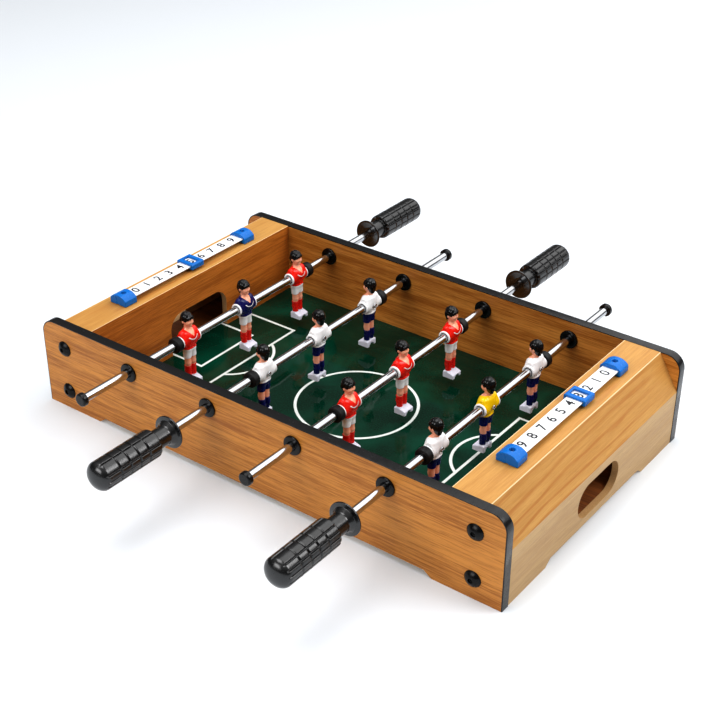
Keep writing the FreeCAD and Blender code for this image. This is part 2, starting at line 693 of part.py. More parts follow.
def build():
    """Every node of the table, by name, as a list of solids."""
    nodes = {"playfield": [playfield()]}
    for name, side in FACES.items():
        nodes["side_panel_" + name] = [mirrored(side_panel(), side_y=side)]
        nodes["edge_band_" + name] = [mirrored(edge_band(), side_y=side)]
    makers = {"goal_wall": goal_wall, "end_ledge": end_ledge, "end_panel": end_panel,
              "ball_tray": ball_tray, "end_slope": lambda: end_board(2), "score_strip": score_strip}
    for name, side in SIDES.items():
        for node, make in makers.items():
            nodes[node + "_" + name] = [mirrored(make(), side_x=side)]
        blocks = [end_block(y) for y in end_block_centres()]
        nodes["score_end_blocks_" + name] = [mirrored(block, side_x=side) for block in blocks]
        slider = mirrored(score_slider(), side_x=side)
        slider.translate(Vector(0, digit_y(name, SCORE_SHOWN[name]), 0))
        nodes["score_slider_" + name] = [slider]

    corners = [(x, y) for x in SIDES.values() for y in FACES.values()]
    nodes["corner_blocks"] = [mirrored(corner_block(), x, y) for x, y in corners]
    nodes["cabinet_bolts"] = [mirrored(cabinet_bolt(z), x, y) for x, y in corners for z in BOLT_Z]
    nodes["threaded_inserts"] = [mirrored(threaded_insert(z), x, y) for x, y in corners for z in BOLT_Z]
    nodes["score_screws"] = [mirrored(score_screw(y), side_x=x) for x in SIDES.values()
                             for y in end_block_centres()]
    nodes["rod_bushes"] = at_each_bush(rod_bush())
    nodes["bush_nuts"] = at_each_bush(bush_nut())

    rod_nodes = rod_set()
    for index in range(len(ROD_X)):
        nodes.update(placed_rod(rod_nodes, index))
    return nodes


def export(nodes):
    """One STEP file per node."""
    os.makedirs("parts", exist_ok=True)
    for name, solids in sorted(nodes.items()):
        shape = solids[0] if len(solids) == 1 else Part.makeCompound(solids)
        count = len(shape.Solids)
        if not shape.isValid() or count != len(solids):
            raise ValueError("%s is not %d sound solid(s), but %d" % (name, len(solids), count))
        shape.exportStep(os.path.join("parts", name + ".step"))
    print(len(nodes), "nodes")


export(build())
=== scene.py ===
"""Looks of the tabletop foosball table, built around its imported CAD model. Lengths are in metres."""
import json
import math

import bmesh
import bpy
import numpy as np
from mathutils import Matrix, Vector


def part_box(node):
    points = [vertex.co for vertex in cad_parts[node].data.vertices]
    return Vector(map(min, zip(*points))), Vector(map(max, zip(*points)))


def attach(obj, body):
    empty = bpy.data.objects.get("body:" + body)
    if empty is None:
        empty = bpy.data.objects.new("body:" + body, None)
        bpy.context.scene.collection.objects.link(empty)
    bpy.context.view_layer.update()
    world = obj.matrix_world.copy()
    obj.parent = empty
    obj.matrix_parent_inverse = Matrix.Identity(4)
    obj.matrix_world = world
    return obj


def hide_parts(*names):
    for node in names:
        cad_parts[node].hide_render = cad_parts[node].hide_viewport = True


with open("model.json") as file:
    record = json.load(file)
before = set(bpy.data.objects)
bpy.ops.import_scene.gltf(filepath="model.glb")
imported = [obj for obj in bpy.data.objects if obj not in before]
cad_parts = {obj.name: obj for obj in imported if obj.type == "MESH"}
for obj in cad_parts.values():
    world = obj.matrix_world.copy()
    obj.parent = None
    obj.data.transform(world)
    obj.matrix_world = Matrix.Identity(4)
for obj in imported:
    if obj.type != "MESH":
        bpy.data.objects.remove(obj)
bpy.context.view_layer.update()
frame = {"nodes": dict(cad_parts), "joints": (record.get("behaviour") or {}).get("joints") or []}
NODES = frame["nodes"]

MM = 0.001
RODS = (1, 2, 3, 4)
ENDS = ("left", "right")
LEDGE_INNER_X, LEDGE_EDGE_X = [corner.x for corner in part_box("end_ledge_right")]


# ---- camera, floor and light


def at(*place):
    """Matrix that moves a piece to a place in millimetres."""
    return Matrix.Translation(Vector(place) * MM)


def show(obj):
    """Links an object into the scene."""
    bpy.context.scene.collection.objects.link(obj)


def make_camera():
    """Camera above the near corner of the table."""
    data = bpy.data.cameras.new("camera")
    data.lens = 68.87
    data.sensor_width = 36.0
    data.clip_start = 0.05
    data.clip_end = 50.0
    camera = bpy.data.objects.new("camera", data)
    camera.location = (0.655, -0.87118, 0.71743)
    camera.rotation_euler = [math.radians(angle) for angle in (59.0508, -0.224, 36.9236)]
    show(camera)
    bpy.context.scene.camera = camera


def make_area_light(name, place, target, size, power):
    """Oblong soft box at a place, looking at a target."""
    data = bpy.data.lights.new(name, "AREA")
    data.shape = "RECTANGLE"
    data.size, data.size_y = size
    data.energy = power
    light = bpy.data.objects.new(name, data)
    light.location = place
    light.rotation_euler = (Vector(target) - Vector(place)).to_track_quat("-Z", "Y").to_euler()
    show(light)


def make_stage():
    """Pale floor, even surroundings and soft boxes."""
    half = 6.0
    mesh = bpy.data.meshes.new("floor")
    corners = [(-half, -half, 0), (half, -half, 0), (half, half, 0), (-half, half, 0)]
    mesh.from_pydata(corners, [], [(0, 1, 2, 3)])
    floor = bpy.data.objects.new("floor", mesh)
    show(floor)
    paint = Paint("floor_white")
    paint.set(base=(0.67, 0.70, 0.735), roughness=0.75, specular=0.2, emission=(1.0, 1.0, 1.0),
              emission_strength=0.13)
    mesh.materials.append(paint.material)

    world = bpy.data.worlds.new("studio")
    bpy.context.scene.world = world
    world.use_nodes = True
    tree = world.node_tree
    direction = tree.nodes.new("ShaderNodeTexCoord")
    split = tree.nodes.new("ShaderNodeSeparateXYZ")
    height = tree.nodes.new("ShaderNodeMapRange")
    for name, value in (("From Min", 0.40), ("From Max", 0.80), ("To Min", 0.16), ("To Max", 0.65)):
        height.inputs[name].default_value = value
    tree.links.new(direction.outputs["Generated"], split.inputs[0])
    tree.links.new(split.outputs["Z"], height.inputs["Value"])
    tree.links.new(height.outputs[0], tree.nodes["Background"].inputs["Strength"])
    tree.nodes["Background"].inputs["Color"].default_value = (1.0, 1.0, 1.0, 1.0)

    middle = (0.0, 0.0, 0.0)
    make_area_light("back_light", (0.45, 1.4, 1.45), middle, (2.6, 2.0), 27.0)
    make_area_light("key_light", (1.3, 0.5, 1.3), middle, (0.8, 0.8), 15.0)
    make_area_light("top_light", (-0.3, -0.2, 1.9), middle, (1.2, 1.0), 19.0)
    make_area_light("front_light", (-0.3, -1.8, 1.1), (0.0, 0.0, 0.05), (1.2, 0.8), 17.0)
    bpy.context.scene.view_settings.view_transform = "Standard"
    bpy.context.scene.view_settings.gamma = 0.86


# ---- procedural paint


class Paint:
    """A Principled material with short calls for the nodes that drive it."""

    SOCKETS = {"base": "Base Color", "roughness": "Roughness", "metallic": "Metallic", "normal": "Normal",
               "specular": "Specular IOR Level", "emission": "Emission Color",
               "emission_strength": "Emission Strength",
               "subsurface": "Subsurface Weight", "subsurface_scale": "Subsurface Scale"}

    def __init__(self, name):
        self.material = bpy.data.materials.new(name)
        self.material.use_nodes = True
        self.tree = self.material.node_tree
        self.shader = self.tree.nodes["Principled BSDF"]

    def put(self, socket, value):
        """Links another node's output to a socket, or sets the socket's own value."""
        if isinstance(value, bpy.types.NodeSocket):
            self.tree.links.new(value, socket)
        elif hasattr(value, "__len__") and len(value) == 3 and socket.type == "RGBA":
            socket.default_value = (*value, 1.0)
        else:
            socket.default_value = value

    def set(self, **values):
        """Sets or links the shader's sockets."""
        for key, value in values.items():
            self.put(self.shader.inputs[self.SOCKETS[key]], value)

    def node(self, kind, inputs, output=0, **settings):
        """Adds a node and returns one of its outputs."""
        added = self.tree.nodes.new(kind)
        for key, value in settings.items():
            setattr(added, key, value)
        for key, value in inputs.items():
            self.put(added.inputs[key], value)
        return added.outputs[output]

    def math(self, operation, a, b=0.0):
        """One arithmetic step."""
        return self.node("ShaderNodeMath", {0: a, 1: b}, operation=operation)

    def place(self, scale=(1.0, 1.0, 1.0), offset=(0.0, 0.0, 0.0)):
        """The surface point in the piece's own frame, scaled along each axis."""
        point = self.node("ShaderNodeTexCoord", {}, output="Object")
        return self.node("ShaderNodeMapping", {"Vector": point, "Scale": scale, "Location": offset})

    def axes(self, point):
        """The three coordinates of a point."""
        return [self.node("ShaderNodeSeparateXYZ", {0: point}, axis) for axis in range(3)]

    def noise(self, point, scale, detail=3.0, rough=0.5, distortion=0.0):
        """Soft noise between 0 and 1."""
        return self.node("ShaderNodeTexNoise", {"Vector": point, "Scale": scale, "Detail": detail,
                                                "Roughness": rough, "Distortion": distortion})

    def step(self, value, low, high, start=0.0, end=1.0):
        """Smooth change from start to end as the value goes from low to high."""
        inputs = {"Value": value, "From Min": low, "From Max": high, "To Min": start, "To Max": end}
        return self.node("ShaderNodeMapRange", inputs, interpolation_type="SMOOTHSTEP")

    def mix(self, share, first, second):
        """Mix of two colours."""
        inputs = {"Factor": share, 6: first, 7: second}
        return self.node("ShaderNodeMix", inputs, output=2, data_type="RGBA")

    def bump(self, height, distance):
        """Surface relief of a given depth in metres."""
        return self.node("ShaderNodeBump", {"Height": height, "Distance": distance})

    def facing(self, axis):
        """How squarely the surface faces along an axis of the piece, from 0 to 1."""
        normal = self.node("ShaderNodeTexCoord", {}, output="Normal")
        return self.math("ABSOLUTE", self.axes(normal)["XYZ".index(axis)])


def srgb(*values):
    """Linear colour from the usual 0 to 255 values of red, green and blue."""
    return tuple(((c / 255 + 0.055) / 1.055) ** 2.4 if c > 10 else c / 255 / 12.92 for c in values)


def moulded(name, colour, roughness, specular=0.5, variation=0.06, grain=900.0, relief=0.00002,
            subsurface=0.0):
    """Moulded plastic: a faint change of tone, uneven gloss and a fine skin texture."""
    paint = Paint(name)
    point = paint.place()
    tone = paint.noise(point, 45.0, 3.0)
    darker = tuple(c * (1 - variation) for c in colour)
    lighter = tuple(min(1.0, c * (1 + variation) + 0.002) for c in colour)
    skin = paint.noise(point, grain, 2.0)
    gloss = paint.step(paint.noise(point, 160.0, 4.0), 0.3, 0.7, roughness * 0.8, roughness * 1.25)
    paint.set(base=paint.mix(tone, darker, lighter), roughness=gloss, specular=specular,
              normal=paint.bump(skin, relief), subsurface=subsurface, subsurface_scale=0.002)
    return paint.material


def wood(name, light, dark, along, contrast=1.0, figure=0.0, crease_and_highlight_lines=(), faces=None,
         roughness=0.42):
    """Printed oak foil, grained along X or Y. Given the foil's normal in faces, cut edges show the board."""
    paint = Paint(name)
    stretch = {"X": (1.0, 28.0, 28.0), "Y": (28.0, 1.0, 28.0)}[along]
    point = paint.place(stretch)
    bands = paint.noise(point, 2.2, 3.0, 0.5, 0.3)
    fibres = paint.noise(point, 13.0, 4.0, 0.62, 0.1)
    threads = paint.noise(point, 42.0, 3.0, 0.6)
    short = tuple(s * (1.8 if s == 1.0 else 1.0) for s in stretch)
    pores = paint.noise(paint.place(short), 75.0, 2.0, 0.5)
    tone = paint.math("ADD", paint.math("MULTIPLY", bands, 0.30), paint.math("MULTIPLY", fibres, 0.32))
    tone = paint.math("ADD", tone, paint.math("MULTIPLY", threads, 0.38))
    spread = 0.11 / contrast
    colour = paint.mix(paint.step(tone, 0.5 - spread, 0.5 + spread), dark, light)
    if figure:
        across = {"X": (0.55, 5.0, 5.0), "Y": (5.0, 0.55, 5.0)}[along]
        wave = {"Vector": paint.place(across, (0.35, 0.0, 0.0)), "Scale": 7.5, "Distortion": 9.0,
                "Detail": 2.5, "Detail Scale": 1.1, "Detail Roughness": 0.55}
        rings = paint.node("ShaderNodeTexWave", wave, output="Fac", wave_type="RINGS")
        uneven = paint.step(paint.noise(paint.place(), 12.0, 2.0), 0.35, 0.65, 0.3, 1.0)
        ring_share = paint.math("MULTIPLY", paint.step(rings, 0.66, 0.97, 0.0, figure), uneven)
        colour = paint.mix(ring_share, colour, tuple(c * k for c, k in zip(dark, (0.92, 0.72, 0.55))))
    pore_share = paint.step(pores, 0.60, 0.72, 0.0, 0.38 * contrast)
    colour = paint.mix(pore_share, colour, tuple(c * 0.5 for c in dark))
    # Pale lines along the ledge's folds: partly the foil's pale crease, partly a painted highlight on the
    # edges.
    if crease_and_highlight_lines:
        x = paint.math("ABSOLUTE", paint.axes(paint.place())[0])
        for line_x, half in crease_and_highlight_lines:
            offset = paint.math("ABSOLUTE", paint.math("SUBTRACT", x, line_x))
            share = paint.step(offset, half * 0.5, half, 0.75, 0.0)
            colour = paint.mix(share, colour, srgb(246, 222, 180))
    if faces:
        board = paint.mix(paint.noise(paint.place(), 900.0, 2.0), *BOARD_CORE)
        colour = paint.mix(paint.step(paint.facing(faces), 0.45, 0.6), board, colour)
    gloss = paint.step(fibres, 0.3, 0.7, roughness * 0.85, roughness * 1.15)
    height = paint.math("SUBTRACT", paint.math("MULTIPLY", fibres, 0.5), pore_share)
    paint.set(base=colour, roughness=gloss, specular=0.35, normal=paint.bump(height, 0.00006))
    return paint.material


# Two tones of the pressed board that shows at cut edges.
BOARD_CORE = (srgb(176, 136, 88), srgb(212, 172, 122))


# ---- shapes from distance fields
# A field is a function of the point (x, y, z) in millimetres, negative inside the shape.


def ball(centre, radii):
    """Ellipsoid."""
    def field(x, y, z):
        p = [(v - c) / r for v, c, r in zip((x, y, z), centre, radii)]
        q = [v / r for v, r in zip(p, radii)]
        inner = np.sqrt(sum(v * v for v in p))
        outer = np.sqrt(sum(v * v for v in q)) + 1e-9
        return inner * (inner - 1) / outer
    return field


def limb(start, end, start_radius, end_radius):
    """Round limb that tapers between two points, with round ends."""
    a, b = np.array(start, float), np.array(end, float)
    axis = b - a

    def field(x, y, z):
        p = (x - a[0], y - a[1], z - a[2])
        share = np.clip(sum(v * d for v, d in zip(p, axis)) / axis.dot(axis), 0, 1)
        gap = np.sqrt(sum((v - share * d) ** 2 for v, d in zip(p, axis)))
        return gap - (start_radius + share * (end_radius - start_radius))
    return field


def bar(x, half, z, radius):
    """Round bar along Y, with round ends."""
    return limb((x, -half, z), (x, half, z), radius, radius)


def block(centre, half, round_off):
    """Box with rounded edges."""
    def field(x, y, z):
        q = [np.abs(v - c) - (h - round_off) for v, c, h in zip((x, y, z), centre, half)]
        outside = np.sqrt(sum(np.maximum(v, 0) ** 2 for v in q))
        return outside + np.minimum(np.maximum(np.maximum(q[0], q[1]), q[2]), 0) - round_off
    return field


def ring(y_low, y_high, outer, round_off):
    """Disc about the Y axis with rounded edges."""
    middle, half = (y_low + y_high) / 2, (y_high - y_low) / 2

    def field(x, y, z):
        q = (np.hypot(x, z) - (outer - round_off), np.abs(y - middle) - (half - round_off))
        outside = np.hypot(np.maximum(q[0], 0), np.maximum(q[1], 0))
        return outside + np.minimum(np.maximum(q[0], q[1]), 0) - round_off
    return field


def beyond(normal, distance):
    """Half space where normal . p is less than distance."""
    n = np.array(normal, float) / np.linalg.norm(normal)
    return lambda x, y, z: n[0] * x + n[1] * y + n[2] * z - distance


def union(fields, blend=0.0):
    """All shapes together, flowing into each other over a blend length."""
    def field(x, y, z):
        result = fields[0](x, y, z)
        for other in fields[1:]:
            result = soft_min(result, other(x, y, z), blend)
        return result
    return field


def soft_min(a, b, blend):
    """Smaller of two fields, rounded where they are close."""
    if not blend:
        return np.minimum(a, b)
    share = np.clip(0.5 + 0.5 * (b - a) / blend, 0, 1)
    return b + (a - b) * share - blend * share * (1 - share)


def common(fields, blend=0.0):
    """What is inside all the shapes, with its edges rounded over a blend length."""
    return lambda x, y, z: -union([lambda x, y, z, f=f: -f(x, y, z) for f in fields], blend)(x, y, z)


def outside(field):
    """Everything outside a shape."""
    return lambda x, y, z: -field(x, y, z)


def grown(field, by):
    """The shape with its surface moved out."""
    return lambda x, y, z: field(x, y, z) - by


def both_sides(maker):
    """A shape made for the right, together with its mirror image."""
    return lambda x, y, z: maker(x, np.abs(y), z)


def layers(grid, axis, rest):
    """The grid without its last layer along an axis, and without its first one."""
    return [grid[tuple(cut if a == axis else rest for a in range(3))]
            for cut in (slice(0, -1), slice(1, None))]


def skin_of(field, low, high, step):
    """Closed quad mesh on a field's surface, with one vertex for each grid cell that it crosses."""
    axes = [np.arange(a - 2 * step, b + 2.5 * step, step) for a, b in zip(low, high)]
    x, y, z = np.meshgrid(*axes, indexing="ij")
    value = field(x, y, z)
    cells = tuple(n - 1 for n in value.shape)
    total, count = np.zeros(cells + (3,)), np.zeros(cells)
    for axis in range(3):
        va, vb = layers(value, axis, slice(None))
        crossed = (va < 0) != (vb < 0)
        share = np.where(crossed, va / np.where(crossed, va - vb, 1), 0)
        u, v = [a for a in range(3) if a != axis]
        for i, j in ((0, 0), (0, 1), (1, 0), (1, 1)):
            part = [slice(None)] * 3
            part[u], part[v] = slice(i, i + cells[u]), slice(j, j + cells[v])
            hit = crossed[tuple(part)]
            point = np.zeros(hit.shape + (3,))
            point[..., axis], point[..., u], point[..., v] = share[tuple(part)], i, j
            total += np.where(hit[..., None], point, 0)
            count += hit
    used = count > 0
    index = np.full(cells, -1)
    index[used] = np.arange(used.sum())
    corner = np.stack(np.nonzero(used), axis=1)
    origin = np.array([axis[0] for axis in axes])
    points = origin + (corner + total[used] / count[used][:, None]) * step
    quads = []
    for axis in range(3):
        u, v = [a for a in range(3) if a != axis]
        here, there = layers(value < 0, axis, slice(1, -1))
        around = []
        for du, dv in ((0, 0), (1, 0), (1, 1), (0, 1)):
            cell = np.stack(np.nonzero(here != there), axis=1)
            cell[:, u] += du
            cell[:, v] += dv
            around.append(index[tuple(cell.T)])
        quad = np.stack(around, axis=1)
        turned = here[here != there] if axis == 1 else there[here != there]
        quad[turned] = quad[turned][:, ::-1]
        quads.append(quad)
    return points, np.concatenate(quads)


def relaxed(points, quads, rounds):
    """The mesh's points, smoothed in rounds that keep its size."""
    edges = np.concatenate([quads[:, [i, (i + 1) % 4]] for i in range(4)])
    edges = np.concatenate([edges, edges[:, ::-1]])
    degree = np.bincount(edges[:, 0], minlength=len(points))[:, None]
    for _ in range(rounds):
        for pull in (0.5, -0.52):
            mean = np.zeros_like(points)
            np.add.at(mean, edges[:, 0], points[edges[:, 1]])
            points = points + pull * (mean / degree - points)
    return points


# ---- turned and moulded shapes


def tube_quads(rows, count):
    """Quads of a tube that has rows of count points round it."""
    index = np.arange(rows * count).reshape(rows, count)
    after = np.roll(index, -1, axis=1)
    return np.stack([index[:-1], index[1:], after[1:], after[:-1]], axis=-1).reshape(-1, 4)


def turned_mesh(profile, count, radius_at=None):
    """Mesh turned about Y through (position, radius) points; radius_at may change a point's radius."""
    stations, radii = np.array(profile).T
    angle = np.arange(count) * 2 * math.pi / count
    around, along = np.meshgrid(angle, stations)
    reach = np.repeat(radii[:, None], count, axis=1)
    if radius_at:
        reach = radius_at(around, along, reach)
    points = np.stack([reach * np.cos(around), along, reach * np.sin(around)], axis=-1).reshape(-1, 3)
    return points, tube_quads(len(stations), count)


def rounded_profile(corners, steps=5):
    """Profile through (position, radius, round_off) corners, with an arc where there is a round-off."""
    result = []
    for k, (position, radius, round_off) in enumerate(corners):
        here = np.array([position, radius], float)
        if not round_off:
            result.append(tuple(here))
            continue
        before = np.array(corners[k - 1][:2], float) - here
        after = np.array(corners[k + 1][:2], float) - here
        before /= np.linalg.norm(before)
        after /= np.linalg.norm(after)
        half = math.acos(np.clip(before.dot(after), -1, 1)) / 2
        reach = round_off / math.tan(half)
        inward = (before + after) / np.linalg.norm(before + after)
        centre = here + inward * round_off / math.sin(half)
        start, end = here + before * reach - centre, here + after * reach - centre
        turn = math.atan2(start[0] * end[1] - start[1] * end[0], start.dot(end))
        for step in range(steps + 1):
            a = turn * step / steps
            result.append((centre[0] + start[0] * math.cos(a) - start[1] * math.sin(a),
                           centre[1] + start[0] * math.sin(a) + start[1] * math.cos(a)))
    return result


def filled(profile, longest):
    """The profile with extra points, so that no stretch is longer than a limit."""
    result = [profile[0]]
    for point in profile[1:]:
        gap = math.dist(result[-1], point)
        parts = max(1, math.ceil(gap / longest))
        first = result[-1]
        result += [tuple(a + (b - a) * k / parts for a, b in zip(first, point)) for k in range(1, parts + 1)]
    return result


# ---- players
# A player stands at the rod's axis and faces +X, in millimetres.

SHIRT_HEM = -8.8
SHORTS_HEM = -18.8
SOCK_TOP = -27.4
ANKLE = -39.4
SOLE = -46.5
CUFF_END = 12.0
ROD_RADIUS = 4.0
# Radius of the small flat that a turned shape has at its axis.
TIP = 0.05


def head_field():
    """Skull, jaw, nose, brow, lips, ears and neck."""
    skull = union([ball((-0.1, 0, 21.5), (5.7, 5.1, 5.6)), ball((1.2, 0, 17.9), (4.3, 3.9, 4.1))], 2.0)
    chin = ball((4.0, 0, 14.9), (1.5, 1.7, 1.3))
    cheeks = both_sides(ball((3.4, 2.5, 18.2), (1.9, 1.5, 1.9)))
    face = union([skull, chin, cheeks], 1.4)
    brow = bar(4.7, 1.9, 21.9, 0.75)
    nose = union([limb((5.0, 0, 21.2), (5.95, 0, 18.9), 0.45, 0.62),
                  ball((5.75, 0, 18.6), (0.85, 0.95, 0.6))], 0.5)
    face = union([face, brow, nose], 0.9)
    sockets = both_sides(ball((5.7, 2.0, 20.45), (1.0, 1.25, 0.75)))
    face = common([face, outside(sockets)], 0.7)
    eyes = both_sides(ball((4.35, 1.95, 20.45), (0.85, 0.9, 0.62)))
    lips = union([bar(5.15, 1.0, 16.75, 0.34), bar(5.1, 0.75, 15.95, 0.36)], 0.2)
    face = union([face, eyes, lips], 0.35)
    ears = both_sides(ball((-0.5, 5.0, 19.4), (1.3, 0.75, 1.9)))
    face = union([face, ears], 0.5)
    neck = limb((-0.4, 0, 7.5), (-0.3, 0, 15.0), 3.3, 3.0)
    return union([face, neck], 1.6)


def hair_field():
    """Full hair with a fringe in front, falling straight back to a point at the nape."""
    crown = ball((-0.45, 0, 22.1), (6.3, 5.7, 6.0))
    fringe = bar(4.3, 2.4, 22.9, 1.5)
    fall = union([limb((-2.6, -1.6, 20.0), (-2.7, -0.5, 13.4), 3.7, 2.1),
                  limb((-2.6, 1.6, 20.0), (-2.7, 0.5, 13.4), 3.7, 2.1)], 0.8)
    mass = union([crown, fringe, fall], 1.0)
    hairline = beyond((0.84, 0, -1), -12.9)

    def field(x, y, z):
        around = np.arctan2(y, -(x - 1.5))
        lock = 0.12 * np.sin(around * 11 + 1.2 * np.sin(z * 0.5)) + 0.05 * np.sin(around * 27 + z * 0.5)
        return common([mass, hairline], 0.5)(x, y, z) + lock
    return field


def torso_field():
    """Barrel chest, waist and the arms down to the rod."""
    chest = ball((0.9, 0, 3.4), (7.4, 9.3, 7.6))
    waist = bar(0.4, 2.4, -4, 5.5)
    hips = bar(0.4, 2.2, -11, 4.7)
    arms = both_sides(union([limb((-0.1, 6.9, 6.6), (0.1, 9.0, 1.6), 4.2, 5.2),
                             limb((0, 6.4, 0), (0, 10.4, 0), 6.1, 5.9)], 2.2))
    collar = limb((-0.3, 0, 8.5), (-0.3, 0, 10.8), 5.2, 4.0)
    return union([chest, waist, hips, arms, collar], 2.6)


def neckline(x, y, z):
    """Opening of the shirt: a V in front, and a round neck behind."""
    return np.where(x > -0.5, (5.4 + 1.25 * np.abs(y)) - z, 11.4 - z)


def rod_hole(radius):
    """Space round the rod, right through."""
    return ring(-30, 30, radius, 0.01)


def shirt_field():
    """Shirt down to the hem, open at the neck and round the rod."""
    body = common([torso_field(), lambda x, y, z: -neckline(x, y, z), beyond((0, 0, -1), -SHIRT_HEM)], 0.35)
    hem = common([bar(0.45, 2.2, SHIRT_HEM + 0.6, 5.25), beyond((0, 0, 1), SHIRT_HEM + 1.2),
                  beyond((0, 0, -1), -SHIRT_HEM)], 0.3)
    sleeves = common([union([body, hem], 0.5), beyond((0, 1, 0), 10.5), beyond((0, -1, 0), 10.5)], 0.3)
    open_shirt = common([sleeves, outside(rod_hole(ROD_RADIUS + 0.6))], 0.25)

    def field(x, y, z):
        near_waist = np.exp(-((z + 6.0) / 3.2) ** 2)
        return open_shirt(x, y, z) + 0.16 * near_waist * np.sin(1.5 * z + 0.75 * np.abs(y) + 0.5 * np.sign(x))
    return field


def chest_skin_field():
    """Skin inside the neckline."""
    return common([grown(torso_field(), -0.28), beyond((0, 0, -1), -3.0), lambda x, y, z: np.abs(y) - 5.4,
                   beyond((-1, 0, 0), 1.0)], 0.2)


def trim_field(printed):
    """White cuffs round the rod, and with them the arc printed across the chest."""
    cuffs = both_sides(ring(10.2, CUFF_END, 6.2, 0.7))
    cuffs = common([cuffs, outside(rod_hole(ROD_RADIUS + 0.5))], 0.2)
    if not printed:
        return cuffs

    def arc(x, y, z):
        line = np.abs(np.hypot(y, z - 8.4) - 6.4) - 0.55
        return np.where(x > 0, np.maximum(line, z - 5.0), 9.0)
    print_field = common([grown(torso_field(), 0.16), arc, outside(grown(torso_field(), -0.5))], 0.12)
    return union([cuffs, print_field])


def shorts_field():
    """Shorts, flared at the two hems."""
    legs = both_sides(limb((0.5, 2.7, -10), (0.8, 3.5, -20.5), 4.3, 3.75))
    seat = bar(0.4, 2.2, -9, 4.9)
    body = common([union([legs, seat], 1.4), beyond((0, 0, -1), -SHORTS_HEM),
                   beyond((0, 0, 1), SHIRT_HEM + 1.2)], 0.3)
    groove = union([limb((5.6, 0, -12.5), (4.7, 0, -21), 0.35, 0.55),
                    limb((-4.6, 0, -12.5), (-3.4, 0, -21), 0.35, 0.55)])
    return common([body, outside(groove)], 0.3)


def leg_skin_field():
    """Thighs, knees and shins."""
    thigh = limb((0.7, 3.2, -18), (0.9, 3.2, -24.5), 3.25, 3.0)
    knee = ball((1.5, 3.2, -24.6), (2.5, 2.4, 2.2))
    shin = limb((0.8, 3.2, -24.5), (0.5, 3.2, -31), 2.95, 2.95)
    return both_sides(union([thigh, knee, shin], 1.0))


def sock_field():
    """Long socks with a turned-down top."""
    calf = limb((0.3, 3.2, SOCK_TOP + 1), (0.75, 3.2, ANKLE - 1), 3.3, 2.9)
    top = limb((0.45, 3.2, SOCK_TOP - 0.7), (0.45, 3.2, SOCK_TOP - 1.4), 3.45, 3.4)
    fold = common([top, beyond((0, 0, 1), SOCK_TOP), beyond((0, 0, -1), -(SOCK_TOP - 1.9))], 0.25)
    muscle = ball((-0.5, 3.2, -33.0), (2.8, 2.7, 4.0))
    body = common([union([calf, muscle], 0.8), beyond((0, 0, 1), SOCK_TOP)], 0.2)
    return both_sides(union([body, fold], 0.2))


def shoe_field():
    """Pair of boots moulded as one block, with an arch along the middle."""
    top = ANKLE - 0.5
    foot = block((2.9, 0, (SOLE + top) / 2), (6.1, 6.9, (top - SOLE) / 2), 0.7)
    toe_slope = beyond((0.345, 0, 1), -36.75)
    collars = common([both_sides(limb((0.7, 3.3, ANKLE - 1.2), (0.7, 3.3, ANKLE + 0.3), 3.5, 3.3)),
                      beyond((0, 0, 1), ANKLE + 0.5)], 0.4)
    arch = limb((-12, 0, SOLE), (20, 0, SOLE), 3.7, 3.7)
    return common([union([common([foot, toe_slope], 0.6), collars], 0.4), outside(arch)], 0.3)


# ---- handles
# Along Y with the free end on the positive side, in millimetres from the middle player.

HANDLE_START = 201.5
SOCKET_END = 256.5
HANDLE_END = 289.3
GRIP_START = 222.5
DOME_START = 281.0
GRIP_RADIUS = 13.0
NECK_RADIUS = 8.75
GROOVE_DEPTH = 1.7
GROOVE_HALF = 1.05
RING_GROOVES = [236.6 + 10.8 * k for k in range(4)]
LONG_GROOVES = (11.5, 37.0, 90.0, 143.0, 168.5)
PULL_ANGLE = 42.0
# How far each rod's handle is turned on its tube, in degrees.
HANDLE_ROLL = {1: -11.0, 2: -27.0, 3: 0.0, 4: -63.0}


def groove_share(gap, half):
    """1 in the middle of a groove, falling smoothly to 0 at its rounded lips."""
    share = np.clip(1 - np.abs(gap) / half, 0, 1)
    return share * share * (3 - 2 * share)


def grip_radius(around, along, reach):
    """Grip cut into pillow-like blocks by rings and by lengthwise grooves."""
    pull = np.degrees(around) - PULL_ANGLE
    edges = np.array([a + side for side in (0, 180) for a in LONG_GROOVES])
    gap_angle = (pull[..., None] - edges + 180) % 360 - 180
    nearest = np.min(np.abs(gap_angle), axis=-1)
    lengthwise = groove_share(np.radians(nearest) * GRIP_RADIUS, GROOVE_HALF)
    ring_gap = np.min(np.abs(along[..., None] - np.array(RING_GROOVES)), axis=-1)
    cross = groove_share(ring_gap, GROOVE_HALF)
    on_grip = np.clip((along - GRIP_START) / 0.4, 0, 1) * np.clip((DOME_START - 0.3 - along) / 1.2, 0, 1)
    before_dome = np.clip((DOME_START + 3.5 - along) / 4.0, 0, 1)
    depth = np.maximum(lengthwise * before_dome, cross * on_grip) * GROOVE_DEPTH
    return np.where((along > GRIP_START - 0.01) & (reach > NECK_RADIUS - 0.8), reach - depth, reach)


